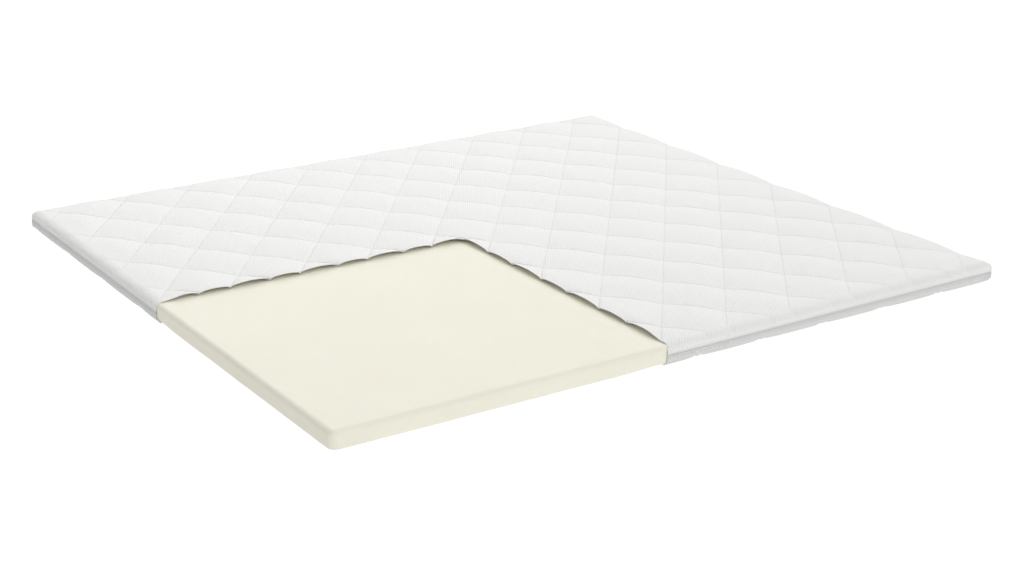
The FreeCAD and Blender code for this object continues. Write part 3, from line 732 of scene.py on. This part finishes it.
def lower_strip(bx, by, nx, ny, px, py, pz):
    a, b = puff(bx + nx * LOW_OUT, by + ny * LOW_OUT, LOW_0)
    notch = np.exp(-np.minimum(a, b) / 0.08)
    low = np.clip(1 - (pz - 0.5) / 7.0, 0, 1)
    lift = 4.6 * notch * low
    push = (-2.0 * notch * np.clip(1 - np.abs(pz - 4.0) / 6.0, 0, 1)
            + 0.45 * wobble(bx, by, 17, 240) * np.clip(1 - np.abs(pz - 8.0) / 5.0, 0, 1))
    px, py, pz = px + nx * push, py + ny * push, np.maximum(pz + lift, 0.02)
    return lower_cut_shift(bx, by, nx, ny, px, py, pz)


def lower_profile(inset, bottom, radius, high):
    out = LOW_OUT - inset
    rows = [(out - radius, bottom, 1.0)]
    for k in range(1, 6):
        a = math.radians(18 * k)
        rows.append((out - radius + radius * math.sin(a), bottom + radius * (1 - math.cos(a)), max(0.0, math.cos(a)) ** 1.2))
    steps = [9.0, 12.0, LOW_HI - 2.9, LOW_HI - 2.25, LOW_HI - 1.6, LOW_HI - 0.5, high]
    press = [0.0, 0.0, 0.0, 0.3, 0.0, 0.0, 0.12]
    return rows + [(out - q, s, 0.0) for s, q in zip(steps, press) if s > bottom + radius + 0.3]


fine_low = plan_of(LOW_0, FINE, HX - LOW_OUT, HY - LOW_OUT, *LOW_CUT)
coarse_low = plan_of(LOW_0, COARSE, HX - LOW_OUT, HY - LOW_OUT, LOW_CUT[0] + 0.8, LOW_CUT[1] + 0.8)
outer, faces, weave = surface(fine_low, lower_under, lower_profile(0.0, 0.05, 6.0, LOW_HI), 0.05, lower_strip, flip=True)
inner = outer - normals_of(outer, faces) * KNIT
v, f = close_between(outer, inner, faces)
lower_knit = make_piece("lower_quilted_knit", v, f, "lower_cover", mat_knit_low, np.vstack([weave, weave]))
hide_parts("lower_cover_knit")

LIN_BOT = 2.55
low_l, faces, weave = surface(coarse_low, lambda x, y: np.full_like(x, LIN_BOT), lower_profile(2.35, LIN_BOT, 4.0, LOW_HI - 0.4),
                              LIN_BOT, lower_strip, flip=True)
up_l = low_l - normals_of(low_l, faces) * LINE
v, f = close_between(low_l, up_l, faces)
lower_lining = make_piece("lower_lining_cloth", v, f, "lower_cover", mat_lining_low, np.vstack([weave, weave]))
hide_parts("lower_cover_lining")

low_w, faces, weave = surface(coarse_low, lambda x, y: np.minimum(lower_under(x, y) + KNIT + 0.12, LIN_BOT - 0.15),
                              lower_profile(KNIT + 0.15, 0.05 + KNIT + 0.12, 5.4, LOW_HI - 0.4), 0.05 + KNIT + 0.12,
                              lower_strip, flip=True)
high_w = low_l + normals_of(low_l, faces) * 0.08
v, f = close_between(low_w, high_w, faces)
lower_wadding = make_piece("lower_wadding_layer", v, f, "lower_cover", mat_wadding)
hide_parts("lower_cover_wadding")


# ------------------------------------------------------------------- stitching
def threads(centres, along, up, length, wide, deep):
    """Short tapered lengths of thread, one for each stitch."""
    n = len(centres)
    side = np.cross(up, along)
    at = np.array([-0.5, -0.36, 0.0, 0.36, 0.5])
    size = np.array([0.0, 0.85, 1.0, 0.85, 0.0])
    arch = np.array([-0.55, 0.0, 0.12, 0.0, -0.55])
    ring = np.array([(1, 0), (0, 1), (-1, 0), (0, -1)], float)
    verts, faces = [], []
    for k in range(5):
        mid = centres + along * (at[k] * length) + up * (arch[k] * deep * 2)
        if size[k] == 0:
            verts.append(mid[:, None, :])
        else:
            verts.append(mid[:, None, :] + size[k] * (side[:, None, :] * ring[None, :, 0:1] * wide / 2
                                                      + up[:, None, :] * ring[None, :, 1:2] * deep / 2))
    block = np.concatenate(verts, 1)
    per = block.shape[1]
    first = [0, 1, 5, 9, 13]
    local = []
    for q in range(4):
        local.append((0, 1 + (q + 1) % 4, 1 + q))
        for r in (1, 2):
            a, b = first[r], first[r + 1]
            local.append((a + q, a + (q + 1) % 4, b + (q + 1) % 4, b + q))
        local.append((9 + q, 9 + (q + 1) % 4, 13))
    for i in range(n):
        o = i * per
        faces += [tuple(o + t for t in f) for f in local]
    return block.reshape(-1, 3), faces


def quilt_stitches(origin, height, cut, sign, pitch=5.0):
    """Stitches along both families of quilting lines."""
    spots, dirs = [], []
    length = math.hypot(PX / 2, PY / 2)
    step = pitch / length
    for fam in (0, 1):
        for k in range(-20, 21):
            t = np.arange(-20, 20, step)
            u, v = (np.full_like(t, k), t) if fam == 0 else (t, np.full_like(t, k))
            x = origin[0] + PX * (u + v) / 2
            y = origin[1] + PY * (u - v) / 2
            ok = (np.minimum(HX - np.abs(x), HY - np.abs(y)) > ROLL_OUT + 1) & \
                 ~((x < cut[0] + 3) & (y < cut[1] + 3))
            x, y = x[ok], y[ok]
            d = np.array([PX, -PY if fam == 0 else PY]) / 2 / length
            spots.append(np.stack([x, y], 1))
            dirs.append(np.tile(d, (len(x), 1)))
    spots, dirs = np.vstack(spots), np.vstack(dirs)
    length_mm = 3.7

    def lifted(p):
        x2, y2 = round_inner(p[:, 0], p[:, 1], cut, CUT_R)
        return np.stack([x2, y2, height(p[:, 0], p[:, 1])], 1)
    a, b = lifted(spots - dirs * length_mm / 2), lifted(spots + dirs * length_mm / 2)
    mid = (a + b) / 2
    along = b - a
    along /= np.linalg.norm(along, axis=1)[:, None]
    up = np.tile([0.0, 0.0, float(sign)], (len(mid), 1))
    up = up - along * (up * along).sum(1)[:, None]
    up /= np.linalg.norm(up, axis=1)[:, None]
    return threads(mid + up * 0.12, along, up, length_mm, 0.62, 0.42)


v, f = quilt_stitches(UP_0, upper_top, (CUT_X, CUT_Y), 1)
upper_quilting = make_piece("upper_quilting_stitches", v, f, "upper_cover", mat_thread, sharp=0)
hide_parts("upper_quilting_thread")
v, f = quilt_stitches(LOW_0, lower_under, LOW_CUT, -1)
lower_quilting = make_piece("lower_quilting_stitches", v, f, "lower_cover", mat_thread, sharp=0)
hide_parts("lower_quilting_thread")


def perimeter(corner, step):
    """Points and outward directions round the mattress, from one end of the cut to the other."""
    r = corner
    hx, hy = HX, HY
    path = [((CUT_X - SIDE_BACK, -hy), (hx - r, -hy), None), (None, None, (hx - r, -hy + r, -90)),
            ((hx, -hy + r), (hx, hy - r), None), (None, None, (hx - r, hy - r, 0)),
            ((hx - r, hy), (-hx + r, hy), None), (None, None, (-hx + r, hy - r, 90)),
            ((-hx, hy - r), (-hx, CUT_Y), None)]
    pts, nor, run, total = [], [], [], 0.0
    for a, b, arc in path:
        if arc is None:
            a, b = np.array(a), np.array(b)
            long = float(np.linalg.norm(b - a))
            n = max(1, round(long / step))
            t = np.linspace(0, 1, n + 1)[:-1]
            d = (b - a) / long
            for q in t:
                pts.append(a + (b - a) * q)
                nor.append((d[1], -d[0]))
                run.append(total + q * long)
            last = (b, (d[1], -d[0]), total + long)
            total += long
        else:
            cx, cy, a0 = arc
            long = r * math.pi / 2
            n = max(6, round(long / step))
            for k in range(n):
                w = math.radians(a0 + 90 * k / n)
                q = r * squarer(w)
                pts.append(np.array([cx + q * math.cos(w), cy + q * math.sin(w)]))
                nor.append((math.cos(w), math.sin(w)))
                run.append(total + long * k / n)
            total += long
    pts.append(last[0]); nor.append(last[1]); run.append(last[2])
    return np.array(pts), np.array(nor), np.array(run)


def seam_stitches(z, corner, pitch=4.2):
    p, n, _ = perimeter(corner, pitch)
    p, n = p[1:-1], n[1:-1]
    mid = np.stack([p[:, 0], p[:, 1], np.full(len(p), z)], 1)
    up = np.stack([n[:, 0], n[:, 1], np.zeros(len(p))], 1)
    along = np.stack([-n[:, 1], n[:, 0], np.zeros(len(p))], 1)
    return threads(mid - up * 0.18, along, up, 3.1, 0.55, 0.4)


v, f = seam_stitches(UP_LO + 2.25, ROLL_OUT)
upper_seam = make_piece("upper_seam_stitches", v, f, "upper_cover", mat_seam, sharp=0)
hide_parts("upper_seam_thread")
v, f = seam_stitches(LOW_HI - 2.25, LOW_OUT)
lower_seam = make_piece("lower_seam_stitches", v, f, "lower_cover", mat_seam, sharp=0)
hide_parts("lower_seam_thread")


# ------------------------------------------------------------------------- zip
def tape(z0, z1, corner, inset, thick, seed, step=9.0):
    """A strip of tape round the mattress: closed, a little wavy, its edges rolled."""
    p, n, run = perimeter(corner, step)
    rows = np.linspace(z0, z1, 6)
    edge = np.array([0.16, 0.03, 0.0, 0.0, 0.03, 0.16])
    wave = 0.10 * np.sin(run / 31.0 + seed) + 0.07 * np.sin(run / 12.7 + 2 * seed)
    section = [(inset + edge[k], rows[k], rows[k] - z0) for k in range(6)]
    section += [(inset + thick - edge[k], rows[k], rows[k] - z0) for k in range(5, -1, -1)]
    m = len(section)
    verts, weave = [], []
    for (d, z, w) in section:
        dd = d + wave * 0.8
        verts.append(np.stack([p[:, 0] - n[:, 0] * dd, p[:, 1] - n[:, 1] * dd, np.full(len(p), z)], 1))
        weave.append(np.stack([run, np.full(len(p), w)], 1))
    verts = np.stack(verts, 1)
    weave = np.stack(weave, 1)
    faces = []
    c = len(p)
    for j in range(c - 1):
        for k in range(m):
            a, b = j * m + k, j * m + (k + 1) % m
            faces.append((a, a + m, b + m, b))
    faces.append(tuple(range(m)))
    faces.append(tuple(reversed(range((c - 1) * m, c * m))))
    return verts.reshape(-1, 3), faces, weave.reshape(-1, 2)


for side, body in (("upper", "upper_cover"), ("lower", "lower_cover")):
    lo, hi = span(side + "_zip_tape")
    corner = ROLL_OUT if side == "upper" else LOW_OUT
    v, f, w = tape(lo[2] + 0.05, hi[2] - 0.05, corner, 0.42, 0.45, 1.0)
    t = make_piece(side + "_zip_tape_woven", v, f, body, mat_tape, w, sharp=60)
    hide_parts(side + "_zip_tape")

    # the coil: one rounded loop for each tooth
    lo, hi = span(side + "_zip_coil")
    p, n, run = perimeter(corner, 1.7)
    p, n = p[1:-1], n[1:-1]
    shift = 0.0 if side == "upper" else 0.5
    along = np.stack([-n[:, 1], n[:, 0]], 1)
    p = p + along * shift * 1.7
    d0, d1 = 0.95, 1.95
    zc, zh = (lo[2] + hi[2]) / 2, (hi[2] - lo[2]) / 2
    tip = 1.0 if side == "lower" else -1.0
    cross = [(d0, -0.9 * tip), (d0 + 0.2, 0.72 * tip), ((d0 + d1) / 2, 1.0 * tip), (d1 - 0.2, 0.72 * tip), (d1, -0.9 * tip)]
    verts = []
    for s in (-0.42, 0.42):
        for d, q in cross:
            verts.append(np.stack([p[:, 0] - n[:, 0] * d + along[:, 0] * s,
                                   p[:, 1] - n[:, 1] * d + along[:, 1] * s,
                                   np.full(len(p), zc + zh * q * 0.98)], 1))
    verts = np.stack(verts, 1)
    faces = []
    for i in range(len(p)):
        o = i * 10
        for k in range(5):
            faces.append((o + k, o + (k + 1) % 5, o + 5 + (k + 1) % 5, o + 5 + k))
        faces.append(tuple(o + k for k in (4, 3, 2, 1, 0)))
        faces.append(tuple(o + 5 + k for k in range(5)))
    if side == "upper":
        faces = [tuple(reversed(q)) for q in faces]
    c = make_piece(side + "_zip_coil_loops", verts.reshape(-1, 3), faces, body, mat_coil, sharp=40)
    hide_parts(side + "_zip_coil")

for node, mat in (("zip_slider", mat_metal), ("zip_slider_cap", mat_metal), ("zip_pull", mat_metal),
                  ("lower_zip_stops", mat_metal), ("upper_zip_stops", mat_metal)):
    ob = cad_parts[node]
    if not ob.material_slots:
        ob.data.materials.append(mat)
    for s in ob.material_slots:
        s.material = mat

# care label: a small blank satin tag, sewn at its two ends
lo, hi = span("care_label")
nx_, nz_ = 24, 8
gx = np.linspace(lo[0], hi[0], nx_ + 1)
gz = np.linspace(lo[2], hi[2], nz_ + 1)
X, Z = np.meshgrid(gx, gz, indexing="ij")
s = (X - lo[0]) / (hi[0] - lo[0])
out_y = HY + 0.12 + 0.55 * np.sin(math.pi * s) ** 2 * (0.6 + 0.4 * (Z - lo[2]) / (hi[2] - lo[2])) + 0.12 * np.sin(s * 17)
front = np.stack([X.ravel(), (out_y + 0.16).ravel(), Z.ravel()], 1)
back = np.stack([X.ravel(), out_y.ravel(), Z.ravel()], 1)
idx = np.arange((nx_ + 1) * (nz_ + 1)).reshape(nx_ + 1, nz_ + 1)
lab_faces = [(idx[i, j], idx[i, j + 1], idx[i + 1, j + 1], idx[i + 1, j]) for i in range(nx_) for j in range(nz_)]
lab_faces = [tuple(int(q) for q in t) for t in lab_faces]
v, f = close_between(front, back, lab_faces)
label = make_piece("blank_care_label", v, f, "lower_cover", mat_satin, sharp=50)
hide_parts("care_label")


# ------------------------------------------------------------------------ foam
def rounded_slab(hx, hy, corner, z0, z1, roll_top, roll_low, step):
    """A closed block whose top edges roll over, with a fine enough mesh to hold a
    little unevenness."""
    ix, iy = hx - corner, hy - corner
    xs = np.linspace(-ix, ix, max(2, round(2 * ix / step)) + 1)
    ys = np.linspace(-iy, iy, max(2, round(2 * iy / step)) + 1)
    prof = []
    flat = corner - roll_top
    if flat > 0.5:
        prof.append((flat * 0.5, z1)); prof.append((flat, z1))
    for k in range(1, 9):
        a = math.radians(90 * k / 8)
        prof.append((corner - roll_top + roll_top * math.sin(a), z1 - roll_top * (1 - math.cos(a))))
    for k in range(1, 5):
        prof.append((corner, z1 - roll_top - (z1 - roll_top - z0 - roll_low) * k / 5))
    for k in range(0, 6):
        a = math.radians(90 * k / 5)
        prof.append((corner - roll_low * (1 - math.cos(a)), z0 + roll_low - roll_low * math.sin(a)))
    prof.append((corner - roll_low - (corner - roll_low) * 0.5, z0))
    X, Y = np.meshgrid(xs, ys, indexing="ij")
    n0, n1 = X.shape
    top = np.stack([X.ravel(), Y.ravel(), np.full(X.size, z1)], 1)
    bot = np.stack([X.ravel(), Y.ravel(), np.full(X.size, z0)], 1)
    ids = np.arange(X.size).reshape(n0, n1)
    faces = [(ids[i, j], ids[i + 1, j], ids[i + 1, j + 1], ids[i, j + 1]) for i in range(n0 - 1) for j in range(n1 - 1)]
    size = X.size
    faces += [tuple(size + q for q in reversed(t)) for t in faces[:]]
    loop = [(i, 0, 0, -1) for i in range(n0)] + [(n0 - 1, j, 1, 0) for j in range(n1)]
    loop += [(i, n1 - 1, 0, 1) for i in range(n0 - 1, -1, -1)] + [(0, j, -1, 0) for j in range(n1 - 1, -1, -1)]
    cols = []
    for q, (i, j, nx, ny) in enumerate(loop):
        prev = loop[q - 1]
        if prev[:2] == (i, j):
            a0 = math.atan2(prev[3], prev[2])
            for k in range(1, 8):
                a = a0 + math.pi / 2 * k / 8
                cols.append((int(ids[i, j]), math.cos(a), math.sin(a)))
        cols.append((int(ids[i, j]), float(nx), float(ny)))
    m = len(prof)
    start = 2 * size
    ring = []
    for b, nx, ny in cols:
        for e, z in prof:
            ring.append((top[b, 0] + nx * e, top[b, 1] + ny * e, z))
    verts = np.vstack([top, bot, np.array(ring)])
    c = len(cols)
    for j in range(c):
        k = (j + 1) % c
        a, b = start + j * m, start + k * m
        same = cols[j][0] == cols[k][0]
        faces.append((cols[j][0], a, b) if same else (cols[k][0], cols[j][0], a, b))
        for r in range(1, m):
            faces.append((b + r - 1, a + r - 1, a + r, b + r))
        pj, pk = size + cols[j][0], size + cols[k][0]
        faces.append((pj, b + m - 1, a + m - 1) if same else (pk, b + m - 1, a + m - 1, pj))
    faces = [tuple(int(q) for q in t) for t in faces]
    return verts, faces


v, f = rounded_slab(FOAM_HI[0], FOAM_HI[1], 20.0, FOAM_LO[2], FOAM_HI[2], 14.0, 4.0, 12.0)
inside_cut = (v[:, 0] < CUT_X) & (v[:, 1] < CUT_Y)
gap = np.where(inside_cut, np.minimum(CUT_X - v[:, 0], CUT_Y - v[:, 1]), 0)
sag = (FOAM_LO[2] - 0.5) * smooth((gap - 36) / 90.0) * smooth((24 - v[:, 2]) / 20.0)
nrm = normals_of(v, f)
v = v + nrm * (0.30 * wobble(v[:, 0] + 1.7 * v[:, 2], v[:, 1] - 1.3 * v[:, 2], 23, 300) - 0.30)[:, None]
# it gives a little under the cut edge of the cover
dx, dy = CUT_X - v[:, 0], CUT_Y - v[:, 1]
from_cut = np.where(inside_cut, np.minimum(dx, dy), to_cut(v[:, 0], v[:, 1], (CUT_X, CUT_Y)))
rim = np.minimum(FOAM_HI[0] - np.abs(v[:, 0]), FOAM_HI[1] - np.abs(v[:, 1]))
v[:, 2] -= sag + 1.8 * (1 - smooth(np.abs(from_cut) / 48.0)) * smooth((rim - 8) / 60.0) * (v[:, 2] > 30)
foam = make_piece("foam_slab", v, f, "core", mat_foam, sharp=0)
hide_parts("foam_core")


# ------------------------------------------------------------ floor, light, camera
me = bpy.data.meshes.new("floor")
size = 150.0
me.from_pydata([(-size, -size, -0.0004), (size, -size, -0.0004), (size, size, -0.0004), (-size, size, -0.0004)], [], [(0, 1, 2, 3)])
floor = bpy.data.objects.new("floor", me)
bpy.context.scene.collection.objects.link(floor)
m, nt, bs = nodes_of("pale_floor")
p = place(nt)
put(nt, bs.inputs["Base Color"], ramp(nt, noise(nt, p, 3.0, 2.0), (0.11, 0.11, 0.11), (0.13, 0.13, 0.13), 0.3, 0.7))
bs.inputs["Roughness"].default_value = 1.0
bs.inputs["Specular IOR Level"].default_value = 0.0
bs.inputs["Emission Color"].default_value = (1, 1, 1, 1)
bs.inputs["Emission Strength"].default_value = 0.98
me.materials.append(m)

world = bpy.data.worlds.new("studio")
bpy.context.scene.world = world
world.use_nodes = True
bg = world.node_tree.nodes["Background"]
bg.inputs["Color"].default_value = (1.0, 1.0, 1.0, 1)
bg.inputs["Strength"].default_value = 0.32


def sun(name, direction, strength, angle, colour=(1, 1, 1)):
    li = bpy.data.lights.new(name, "SUN")
    li.energy = strength
    li.angle = math.radians(angle)
    li.color = colour
    ob = bpy.data.objects.new(name, li)
    ob.rotation_euler = (-Vector(direction)).to_track_quat("-Z", "Y").to_euler()
    ob.location = Vector(direction) * 3
    bpy.context.scene.collection.objects.link(ob)
    return ob


sun("key", (0.38, 0.85, 0.47), 1.42, 44)
sun("front_fill", (0.33, -0.50, 1.0), 1.40, 90)
sun("low_fill", (-0.45, -0.90, 0.25), 0.28, 50)
area = bpy.data.lights.new("softbox", "AREA")
area.shape = "SQUARE"
area.size = 2.6
area.energy = 13.0
area_ob = bpy.data.objects.new("softbox", area)
area_ob.location = (0.2, 1.3, 2.5)
bpy.context.scene.collection.objects.link(area_ob)

cam = bpy.data.cameras.new("camera")
cam.lens = 65.632
cam.sensor_width = 36.0
cam.shift_x = 0.0513
cam.clip_start, cam.clip_end = 0.1, 500.0
cam_ob = bpy.data.objects.new("camera", cam)
cam_ob.location = (-2.690778, -4.081318, 1.705092)
cam_ob.rotation_euler = (math.pi / 2 - 0.354678, 0.0, -0.564367)
bpy.context.scene.collection.objects.link(cam_ob)
bpy.context.scene.camera = cam_ob
bpy.context.scene.view_settings.view_transform = "Standard"
bpy.context.scene.view_settings.look = "None"
